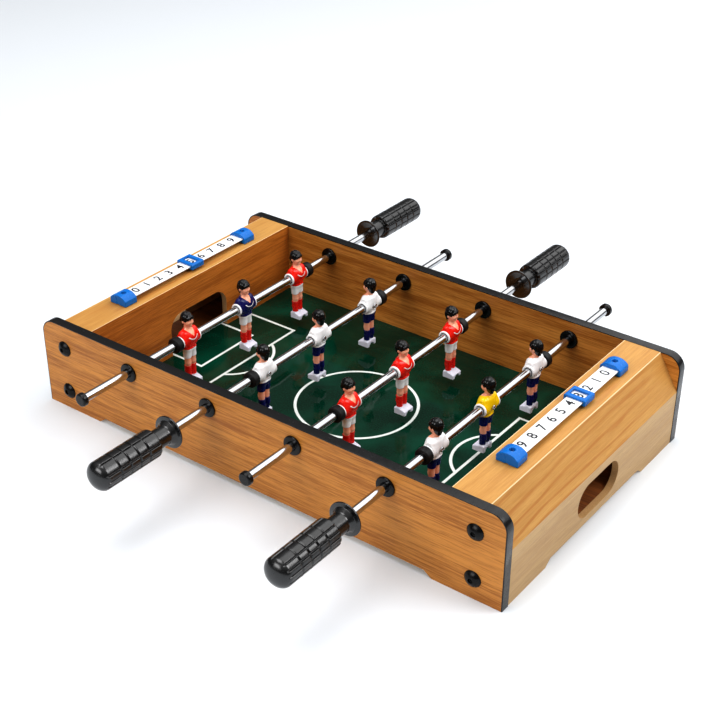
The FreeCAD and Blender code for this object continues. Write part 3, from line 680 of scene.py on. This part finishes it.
def handle_profile():
    """Recessed face, trumpet flange, neck, grip and domed end."""
    profile = rounded_profile([
        (HANDLE_START + 4.0, ROD_RADIUS, 0), (HANDLE_START + 2.6, ROD_RADIUS, 0.3),
        (HANDLE_START + 2.4, 6.5, 1.2), (HANDLE_START + 0.1, 13.3, 0.5), (HANDLE_START, 15.0, 0.55),
        (HANDLE_START + 1.6, 15.0, 0.55), (HANDLE_START + 2.4, 11.4, 1.3),
        (HANDLE_START + 6.2, NECK_RADIUS, 3.6), (GRIP_START, NECK_RADIUS, 0.5),
        (GRIP_START, GRIP_RADIUS, 1.8), (DOME_START, GRIP_RADIUS, 0)], 7)
    length = HANDLE_END - DOME_START
    dome = [(DOME_START + length * math.sin(a), TIP + (GRIP_RADIUS - TIP) * math.cos(a))
            for a in np.linspace(0.06, math.pi / 2, 22)]
    return [(SOCKET_END, TIP), (SOCKET_END, ROD_RADIUS)] + filled(profile + dome, 0.42)


# ---- pieces


def mesh_from(name, points, faces):
    """Smooth mesh from points in millimetres, welded at its seams and closed at its open ends."""
    mesh = bpy.data.meshes.new(name)
    mesh.from_pydata((np.asarray(points) * MM).tolist(), [], np.asarray(faces).tolist())
    shell = bmesh.new()
    shell.from_mesh(mesh)
    bmesh.ops.remove_doubles(shell, verts=shell.verts, dist=0.001 * MM)
    bmesh.ops.holes_fill(shell, edges=shell.edges)
    shell.to_mesh(mesh)
    shell.free()
    mesh.polygons.foreach_set("use_smooth", [True] * len(mesh.polygons))
    return mesh


def joined(*shapes):
    """Several (points, faces) shapes as one."""
    shifts = np.cumsum([0] + [len(points) for points, _ in shapes[:-1]])
    return (np.concatenate([points for points, _ in shapes]),
            np.concatenate([faces + shift for (_, faces), shift in zip(shapes, shifts)]))


def repeated(points, faces, offsets):
    """The same shape at several offsets, as one."""
    return joined(*[(points + offset, faces) for offset in offsets])


def add_piece(name, mesh, body, material, place=Matrix.Identity(4), replaces=()):
    """Puts a copy of a mesh into the scene as a named piece of a body."""
    mesh = mesh.copy()
    mesh.name = name
    mesh.materials.clear()
    mesh.materials.append(material)
    obj = bpy.data.objects.new(name, mesh)
    obj.matrix_world = place
    show(obj)
    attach(obj, body)
    if replaces:
        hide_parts(*replaces)
    return obj


def repaint(material, *nodes):
    """Gives CAD nodes that stay in view their material."""
    for node in nodes:
        materials = NODES[node].data.materials
        materials.clear()
        materials.append(material)


def box_of(node):
    """Lower and upper corner of a CAD node's box, in millimetres."""
    return [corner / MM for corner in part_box(node)]


def centre_of(node):
    """Middle of a CAD node's box, in millimetres."""
    low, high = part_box(node)
    return (low + high) / 2 / MM


def mirrored_y(points, faces):
    """The shape on the other side of the XZ plane."""
    return points * (1, -1, 1), faces[:, ::-1]


# Printed lines, in millimetres from the middle of the field.
FIELD_LINE = 2.8
CENTRE_CIRCLE = 58.0
PENALTY_X = 135.0
PENALTY_Y = 71.5
PENALTY_ARC = (157.0, 42.5)
GOAL_AREA_X = 162.5
GOAL_AREA_Y = 38.0


def lines_on_field(paint):
    """Share of white paint from the printed lines, which are the same at both ends."""
    point = paint.place((1 / MM, 1 / MM, 1 / MM))
    x, y = [paint.math("ABSOLUTE", axis) for axis in paint.axes(point)[:2]]
    half = FIELD_LINE / 2

    def stroke(gap, soft=0.25):
        return paint.step(paint.math("ABSOLUTE", gap), half - soft, half + soft, 1.0, 0.0)

    def arc(centre, radius):
        reach = paint.node("ShaderNodeVectorMath", {0: paint.node("ShaderNodeCombineXYZ", {
            "X": paint.math("SUBTRACT", x, centre), "Y": y})}, output="Value", operation="LENGTH")
        return stroke(paint.math("SUBTRACT", reach, radius))

    def kept_below(share, value, limit):
        return paint.math("MULTIPLY", share, paint.math("LESS_THAN", value, limit))

    shares = [arc(0.0, CENTRE_CIRCLE), kept_below(arc(*PENALTY_ARC), x, PENALTY_X)]
    for line_x, line_y in ((PENALTY_X, PENALTY_Y), (GOAL_AREA_X, GOAL_AREA_Y)):
        shares.append(kept_below(stroke(paint.math("SUBTRACT", x, line_x)), y, line_y + half))
        beyond_line = paint.math("GREATER_THAN", x, line_x - half)
        shares.append(paint.math("MULTIPLY", stroke(paint.math("SUBTRACT", y, line_y)), beyond_line))
    total = shares[0]
    for share in shares[1:]:
        total = paint.math("MAXIMUM", total, share)
    return total


def field_paint():
    """Glossy green foil with printed lines and lighter patches of painted reflection; the board's edges are
    bare.
    """
    paint = Paint("field_green")
    point = paint.place()
    # Lighter teal patches in the green are painted reflections of the overhead light; the same patches also
    # vary the gloss.
    reflection_patches = paint.noise(point, 16.0, 3.0, 0.5, 0.6)
    weave = paint.noise(point, 620.0, 2.0)
    green = paint.mix(paint.step(reflection_patches, 0.42, 0.72), srgb(2, 38, 23), srgb(4, 62, 44))
    green = paint.mix(paint.step(weave, 0.3, 0.7, 0.0, 0.10), green, srgb(30, 92, 74))
    colour = paint.mix(lines_on_field(paint), green, srgb(228, 234, 230))
    board = paint.mix(paint.noise(point, 900.0, 2.0), *BOARD_CORE)
    colour = paint.mix(paint.step(paint.facing("Z"), 0.45, 0.6), board, colour)
    waves = paint.noise(point, 22.0, 2.0, 0.5)
    paint.set(base=colour, roughness=paint.step(reflection_patches, 0.3, 0.7, 0.035, 0.065), specular=0.18,
              normal=paint.bump(waves, 0.0004))
    return paint.material


def chrome_paint(name, colour, roughness):
    """Plated metal with faint drawn lines along the piece."""
    paint = Paint(name)
    lines = paint.noise(paint.place((1.0, 0.02, 1.0)), 2600.0, 3.0)
    smudges = paint.noise(paint.place(), 60.0, 4.0)
    darker = tuple(c * 0.93 for c in colour)
    paint.set(base=paint.mix(smudges, darker, colour), metallic=1.0,
              roughness=paint.step(smudges, 0.3, 0.7, roughness * 0.8, roughness * 1.5),
              normal=paint.bump(lines, 0.000002))
    return paint.material


SHADES = {
    "red": srgb(240, 30, 12), "sock_red": srgb(226, 26, 14), "navy": srgb(6, 8, 84),
    "white": srgb(250, 251, 254), "yellow": srgb(252, 208, 8), "shoe": srgb(226, 228, 242),
}
PLASTIC = {name: moulded("figure_" + name, shade, 0.25, 0.4) for name, shade in SHADES.items()}
PLASTIC["skin"] = moulded("figure_skin", srgb(255, 178, 146), 0.25, 0.4, subsurface=0.06)
PLASTIC["hair"] = moulded("hair_black", srgb(6, 6, 7), 0.1, 0.35)
SIDE_WOOD = wood("side_wood", srgb(208, 142, 64), srgb(156, 92, 27), "X", faces="Y")
# The ledge's fold lines are painted pale: partly the foil's crease, partly a painted highlight.
END_WOOD = wood("end_wood", srgb(201, 155, 88), srgb(178, 127, 63), "Y", contrast=0.6, figure=0.7,
                crease_and_highlight_lines=((LEDGE_EDGE_X, 0.00045), (LEDGE_INNER_X, 0.0008)))
END_FACE_WOOD = wood("end_face_wood", srgb(198, 165, 117), srgb(174, 137, 88), "Y", contrast=0.7, faces="X")
GOAL_WOOD = wood("goal_wood", srgb(206, 126, 48), srgb(160, 88, 24), "Y", faces="X")
# Bare board of the goal trays and corner blocks: the board's brown, painted darker to stand in for the shade
# inside the cabinet.
SHADED_BARE_WOOD = wood("bare_wood", srgb(140, 80, 32), srgb(96, 50, 16), "X", roughness=0.6)
EDGE_BLACK = moulded("edge_black", srgb(16, 16, 17), 0.22, grain=1800.0, specular=0.4)
HANDLE_BLACK = moulded("handle_black", srgb(3, 3, 4), 0.22, relief=0.00003, specular=0.8)
GLOSS_BLACK = moulded("gloss_black", srgb(3, 3, 4), 0.14, specular=0.3)
BOLT_BLACK = moulded("bolt_black", srgb(3, 3, 4), 0.25, specular=0.25)
RUBBER = moulded("rubber_black", srgb(14, 14, 15), 0.5, grain=1500.0, relief=0.00004, specular=0.3)
CAP_BLACK = moulded("cap_black", srgb(5, 5, 6), 0.25, specular=0.35)
COUNTER_BLUE = moulded("counter_blue", srgb(0, 108, 190), 0.28, specular=0.3)
STRIP_WHITE = moulded("strip_white", srgb(238, 239, 242), 0.3, variation=0.02)
DIGIT_INK = moulded("digit_ink", srgb(34, 33, 36), 0.5, variation=0.2)
CHROME = chrome_paint("chrome", (0.55, 0.555, 0.57), 0.11)
SCREW_STEEL = chrome_paint("screw_steel", (0.62, 0.63, 0.66), 0.14)
BRASS = chrome_paint("insert_brass", (0.72, 0.58, 0.30), 0.25)


def paint_cabinet():
    """Materials of the CAD nodes that stay in view."""
    repaint(field_paint(), "playfield")
    for end in ENDS:
        repaint(GOAL_WOOD, "goal_wall_" + end)
        repaint(END_WOOD, "end_ledge_" + end, "end_slope_" + end)
        repaint(END_FACE_WOOD, "end_panel_" + end)
        repaint(SHADED_BARE_WOOD, "ball_tray_" + end)
    repaint(SIDE_WOOD, "side_panel_front", "side_panel_back")
    repaint(SHADED_BARE_WOOD, "corner_blocks")
    repaint(BRASS, "threaded_inserts")
    repaint(CHROME, *["rod%d_tube" % rod for rod in RODS])


SPIN = {joint["name"]: [v / MM for v in joint["pos_m"]]
        for joint in frame["joints"] if joint["type"] == "hinge"}


def rod_centre(rod):
    """Axis point of a rod at its middle player, in millimetres."""
    axis = SPIN["rod%d_spin" % rod]
    return np.array((axis[0], centre_of("rod%d_player_screws" % rod).y, axis[2]))


def faces_right(rod):
    """True where the handle is at the back, so the players face +X."""
    return centre_of("rod%d_handle" % rod).y > 0


def rod_place(rod, y=0.0):
    """Where a shape that was made along Y with its handle at the positive end belongs."""
    turn = 0.0 if faces_right(rod) else math.pi
    return at(*rod_centre(rod)) @ Matrix.Rotation(turn, 4, "Z") @ at(0, y, 0)


# ---- edge bands


def edge_band_mesh(node):
    """Band swept round a side panel's ends and top, with softened outer edges."""
    low, high = box_of(node)
    corner, inset, soft = 15.0, 1.0, 0.45
    path = [((low.x, 0.0), (-1.0, 0.0))]
    for centre_x, first in ((low.x + corner, math.pi), (high.x - corner, math.pi / 2)):
        for k in range(17):
            angle = first - k * math.pi / 32
            normal = (math.cos(angle), math.sin(angle))
            path.append(((centre_x + corner * normal[0], high.z - corner + corner * normal[1]), normal))
    path.append(((high.x, 0.0), (1.0, 0.0)))
    section = [(-inset, low.y), (-inset, high.y)]
    for middle_y, first in ((high.y - soft, 0.0), (low.y + soft, math.pi / 2)):
        for k in range(7):
            angle = first + k * math.pi / 12
            section.append((-soft + soft * math.sin(angle), middle_y + soft * math.cos(angle)))
    points = [(p[0] + n[0] * depth, y, p[1] + n[1] * depth) for p, n in path for depth, y in section]
    return mesh_from(node, points, tube_quads(len(path), len(section))[:, ::-1])


def make_edge_bands():
    """Black bands on both side panels."""
    for node in ("edge_band_front", "edge_band_back"):
        add_piece(node + "_rounded", edge_band_mesh(node), "cabinet", EDGE_BLACK,
                  replaces=[node])


# ---- small turned and moulded parts of the cabinet


def on_both_panels(points, faces, spots):
    """A part made about the Y axis at every (x, z) spot, on the back panel and mirrored on the front."""
    offsets = [(x, 0, z) for x, z in spots]
    return joined(repeated(points, faces, offsets), repeated(*mirrored_y(points, faces), offsets))


def make_bushes():
    """Bushes with a dished flange outside, and their nuts inside."""
    inner, outer = [corner.y for corner in box_of("side_panel_back")]
    bore, flange = 4.15, 9.0
    spots = [rod_centre(rod)[::2] for rod in RODS]
    bush = rounded_profile([
        (inner - 2.2, bore, 0), (inner - 2.2, 6.0, 0.3), (outer, 6.0, 0), (outer, flange, 0.3),
        (outer + 1.9, flange, 1.0), (outer + 2.3, 5.6, 0.6), (outer + 2.3, bore, 0.5),
        (inner - 2.2, bore, 0)], 6)
    nut = rounded_profile([
        (inner, 6.05, 0), (inner - 2.2, 6.05, 0.3), (inner - 2.2, flange, 0.8), (inner, flange, 0.2),
        (inner, 6.05, 0)], 6)
    for node, profile in (("rod_bushes", bush), ("bush_nuts", nut)):
        points, faces = on_both_panels(*turned_mesh(profile, 72), spots)
        add_piece(node + "_moulded", mesh_from(node, points, faces), "cabinet",
                  GLOSS_BLACK, replaces=[node])


def make_bolts():
    """Domed bolt heads with a hexagon socket, and their shanks."""
    outer = box_of("side_panel_back")[1].y
    low, high = box_of("cabinet_bolts")
    radius, height, crown = 8.1, 4.2, outer + 4.2
    curve = (radius * radius + height * height) / (2 * height)
    dome = common([ball((0, crown - curve, 0), (curve, curve, curve)),
                   ring(outer, crown + 1, radius, 0.5)], 0.4)
    shank = ring(outer - 21.5, outer + 0.5, 3.0, 0.4)

    def socket(x, y, z):
        sides = [np.abs(x * math.cos(a) + z * math.sin(a)) - 2.0 for a in np.radians((30, 90, 150))]
        return np.maximum(np.maximum(np.maximum(sides[0], sides[1]), sides[2]), (crown - 2.2) - y)
    bolt = union([common([dome, outside(socket)], 0.25), shank], 0.2)
    points, faces = skin_of(bolt, (-8.2, outer - 21.6, -8.2), (8.2, crown + 0.1, 8.2), 0.34)
    spots = [(x, z) for x in (low.x + radius, high.x - radius) for z in (low.z + radius, high.z - radius)]
    points, faces = on_both_panels(relaxed(points, faces, 1), faces, spots)
    add_piece("cabinet_bolts_detailed", mesh_from("bolts", points, faces), "cabinet",
              BOLT_BLACK, replaces=["cabinet_bolts"])


# ---- score counters


def make_counter(end):
    """Strip, digits, end blocks, screws and slider of one counter."""
    node = "score_strip_" + end
    low, high = box_of(node)
    centre, half = (low + high) / 2, (high - low) / 2
    strip = block((0, 0, 0), tuple(half), 0.25)
    mesh = mesh_from(node, *skin_of(strip, tuple(-half), tuple(half), 0.6))
    add_piece(node + "_rounded", mesh, "cabinet", STRIP_WHITE,
              at(*centre), [node])
    make_digits(end, centre.x, centre.y, high.z)
    make_end_blocks(end, centre.x, low.z)
    make_slider("score_slider_" + end, centre.z)


def make_digits(end, x, y, top):
    """Ten printed digits with their tops towards -X."""
    pitch, height = 15.25, 11.6
    counting = 1 if end == "left" else -1
    digits = bmesh.new()
    for digit in range(10):
        curve = bpy.data.curves.new("digit", "FONT")
        curve.body = str(digit)
        curve.size = height * 1.12 * MM
        curve.align_x = curve.align_y = "CENTER"
        curve.extrude = 0.00003
        curve.offset = 0.00021
        text = bpy.data.objects.new("digit", curve)
        show(text)
        bpy.context.view_layer.update()
        mesh = bpy.data.meshes.new_from_object(text.evaluated_get(bpy.context.evaluated_depsgraph_get()))
        bpy.data.objects.remove(text)
        centre_y = y + counting * (digit - 4.5) * pitch
        mesh.transform(at(x, centre_y, top + 0.02) @ Matrix.Rotation(math.pi / 2, 4, "Z"))
        digits.from_mesh(mesh)
        bpy.data.meshes.remove(mesh)
    mesh = bpy.data.meshes.new("digits")
    digits.to_mesh(mesh)
    digits.free()
    add_piece("score_digits_" + end, mesh, "cabinet", DIGIT_INK)


def make_end_blocks(end, x, strip_z):
    """Domed blue blocks, slotted for the strip, each with a screw sunk in its top."""
    node = "score_end_blocks_" + end
    low, high = box_of(node)
    seat = box_of("score_screws")[1].z - 1.5
    half_x, height, length = (high.x - low.x) / 2, high.z - low.z, 15.5
    wall = 5.5
    rise = height - wall
    curve = (half_x * half_x + rise * rise) / (2 * rise)
    dome = ring(-length, length, curve, 0.01)
    body = common([block((0, 0, height / 2), (half_x, length / 2, height / 2), 0.9),
                   lambda px, py, pz: dome(px, py, pz - height + curve),
                   lambda px, py, pz: -np.maximum(np.hypot(px, py) - 2.5, (seat - low.z) - pz)], 0.7)
    notch = block((0, 0, 0), (1.4, length, 0.9), 0.2)
    for name, centre_y, inward in (("front", low.y + length / 2, 1), ("back", high.y - length / 2, -1)):
        slot = block((0, inward * (length / 2), strip_z + 0.6 - low.z), (8.15, 5.1, 0.75), 0.1)
        shift = inward * (1.5 * length - 1.2)
        shape = common([body, outside(slot), lambda px, py, pz, s=shift: -notch(px, py + s, pz)], 0.2)
        skin = skin_of(shape, (-half_x, -length / 2, 0), (half_x, length / 2, height), 0.36)
        add_piece("score_end_block_%s_%s" % (end, name), mesh_from(node, *skin), "cabinet",
                  COUNTER_BLUE, at(x, centre_y, low.z), [node] if name == "front" else [])
        skin = skin_of(screw_field(2.15, 1.5, 1.2, 9.0), (-2.3, -2.3, -9.2), (2.3, 2.3, 1.7), 0.16)
        add_piece("score_screw_%s_%s" % (end, name), mesh_from("screw", *skin), "cabinet",
                  SCREW_STEEL, at(x, centre_y, seat),
                  ["score_screws"] if (end, name) == ("left", "front") else [])


def screw_field(head_radius, head_height, shank_radius, shank_length):
    """Pan-head screw with a cross recess, standing on its seat with the head up."""
    def field(x, y, z):
        around = np.hypot(x, y)
        crown = np.maximum(around - head_radius, np.abs(z - head_height / 2) - head_height / 2)
        curve = 2.2 * head_radius
        dome = np.sqrt(x * x + y * y + (z - head_height + curve) ** 2) - curve
        head = soft_min(-crown, -dome, 0.25)
        arm = np.maximum(np.minimum(np.abs(x), np.abs(y)) - 0.28 * head_radius / 2.15,
                         around - 0.62 * head_radius)
        cross = np.maximum(arm, head_height - 0.75 - z)
        head = np.maximum(-head, -cross)
        shank = np.maximum(around - shank_radius, np.abs(z + shank_length / 2) - shank_length / 2 - 0.1)
        return np.minimum(head, shank)
    return field


def make_slider(node, strip_middle):
    """Blue frame round the strip, with bevelled flanks and a window over one digit."""
    low, high = box_of(node)
    centre, half = (low + high) / 2, (high - low) / 2
    strip_z = strip_middle - centre.z
    shell = block((0, 0, 0), (half.x, half.y, half.z), 0.7)
    chamfers = common([beyond((1, 0, 1), (half.x + half.z - 1.3) / math.sqrt(2)),
                       beyond((-1, 0, 1), (half.x + half.z - 1.3) / math.sqrt(2))])
    slot = block((0, 0, strip_z), (8.3, half.y + 2, 0.9), 0.1)
    window = block((0, 0, half.z), (7.2, 4.1, half.z - strip_z), 0.5)
    shape = common([shell, chamfers, outside(slot), outside(window)], 0.45)
    mesh = mesh_from(node, *skin_of(shape, tuple(-half), tuple(half), 0.32))
    add_piece(node + "_rounded", mesh, node, COUNTER_BLUE,
              at(*centre), [node])


# ---- rods


def make_rod_fittings(rod, meshes):
    """Handle, cap, bumpers and screws of one rod."""
    body, place = "rod%d" % rod, rod_place(rod)
    roll = Matrix.Rotation(-math.radians(HANDLE_ROLL[rod]), 4, "Y")
    add_piece(body + "_handle_moulded", meshes["handle"], body, HANDLE_BLACK,
              place @ roll, [body + "_handle"])
    add_piece(body + "_cap_rounded", meshes["cap"], body, CAP_BLACK, place, [body + "_cap"])
    add_piece(body + "_bumpers_rounded", meshes["bumpers"], body + "_carriage", RUBBER, place,
              [body + "_bumpers"])
    add_piece(body + "_screws_detailed", meshes["screws"], body, SCREW_STEEL, place,
              [body + "_player_screws"])


def fitting_meshes():
    """Meshes of the rods' fittings, along Y from the middle player."""
    cap = [(-215.8, TIP), (-215.8, ROD_RADIUS)] + filled(rounded_profile([
        (-212.0, ROD_RADIUS, 0), (-212.0, 6.2, 0.5), (-217.2, 6.2, 1.8), (-217.2, TIP, 0)], 8), 1.5)
    inner, outer = 92.3, 99.8
    middle = (inner + outer) / 2
    bumper = rounded_profile([(middle, 4.1, 0), (inner, 4.1, 0.5), (inner, 7.5, 1.3), (outer, 7.5, 1.3),
                              (outer, 4.1, 0.5), (middle, 4.1, 0)], 6)
    rings = turned_mesh(bumper, 96)
    points, faces = skin_of(screw_field(2.3, 1.4, 1.1, 5.0), (-2.4, -2.4, -5.2), (2.4, 2.4, 1.6), 0.16)
    lying = np.stack([-points[:, 2] - 6.4, points[:, 1], points[:, 0]], axis=1)
    screws = repeated(lying, faces, [(0, y, 0) for y in (-80, 0, 80)])
    return {"handle": mesh_from("handle", *turned_mesh(handle_profile(), 288, grip_radius)),
            "cap": mesh_from("cap", *turned_mesh(cap, 72)),
            "bumpers": mesh_from("bumpers", *joined(rings, mirrored_y(*rings))),
            "screws": mesh_from("screws", *screws)}


# ---- players

# Part: its field, the box that holds it and the mesh step, in millimetres.
FIGURE_PARTS = {
    "head": (head_field, (-8, -7, 6), (9, 7, 28), 0.3),
    "hair": (hair_field, (-8, -7, 10), (8, 7, 29), 0.3),
    "chest": (chest_skin_field, (-9, -13, -3), (10, 13, 13), 0.4),
    "shirt": (shirt_field, (-9, -13, -13), (10, 13, 14), 0.4),
    "trim": (lambda: trim_field(True), (-9, -13, -8), (10, 13, 13), 0.28),
    "cuffs": (lambda: trim_field(False), (-9, -13, -8), (10, 13, 8), 0.28),
    "shorts": (shorts_field, (-9, -13, -22), (10, 13, -7), 0.4),
    "legs": (leg_skin_field, (-9, -13, -36), (10, 13, -14), 0.4),
    "socks": (sock_field, (-9, -13, -44), (10, 13, -26), 0.4),
    "shoes": (shoe_field, (-9, -13, -48), (10, 13, -36), 0.36),
}
# Kit: shade and record slot of each painted part.
SKIN = ("skin", "skin")
WHITE = ("white", "figure_white")
NAVY = ("navy", "figure_navy")
RED_SOCKS = ("sock_red", "figure_red")
KITS = {
    "red": {"shirt": ("red", "figure_red"), "trim": WHITE, "shorts": WHITE, "socks": RED_SOCKS},
    "navy": {"shirt": NAVY, "trim": WHITE, "shorts": WHITE, "socks": RED_SOCKS},
    "white": {"shirt": WHITE, "cuffs": WHITE, "shorts": NAVY, "socks": NAVY},
    "yellow": {"shirt": ("yellow", "figure_yellow"), "cuffs": WHITE, "shorts": NAVY, "socks": NAVY},
}
COMMON_KIT = {"head": SKIN, "chest": SKIN, "legs": SKIN, "hair": ("hair", "hair"),
              "shoes": ("shoe", "shoe_white")}


def kit_of(rod, place):
    """Kit of a player: keepers stand in the middle of the two end rods."""
    if place == "middle" and rod in (1, 4):
        return "navy" if rod == 1 else "yellow"
    return "red" if rod in (1, 3) else "white"


def figure_meshes():
    """One mesh for each painted part of a player."""
    meshes = {}
    for part, (field, low, high, step) in FIGURE_PARTS.items():
        points, faces = skin_of(field(), low, high, step)
        meshes[part] = mesh_from(part, relaxed(points, faces, 2), faces)
    return meshes


def make_players(rod, meshes):
    """The three players of a rod."""
    for place in ("front", "middle", "back"):
        node = "rod%d_player_%s" % (rod, place)
        offset = centre_of(node).y - rod_centre(rod)[1]
        matrix = rod_place(rod, offset if faces_right(rod) else -offset)
        kit = {**COMMON_KIT, **KITS[kit_of(rod, place)]}
        for part, (shade, slot) in kit.items():
            add_piece("%s_%s" % (node, part), meshes[part], "rod%d" % rod, PLASTIC[shade], matrix,
                      [node] if part == "shirt" else [])


make_stage()
make_camera()
paint_cabinet()
make_edge_bands()
make_bushes()
make_bolts()
for end in ENDS:
    make_counter(end)
FITTINGS = fitting_meshes()
FIGURE = figure_meshes()
for rod in RODS:
    make_rod_fittings(rod, FITTINGS)
    make_players(rod, FIGURE)
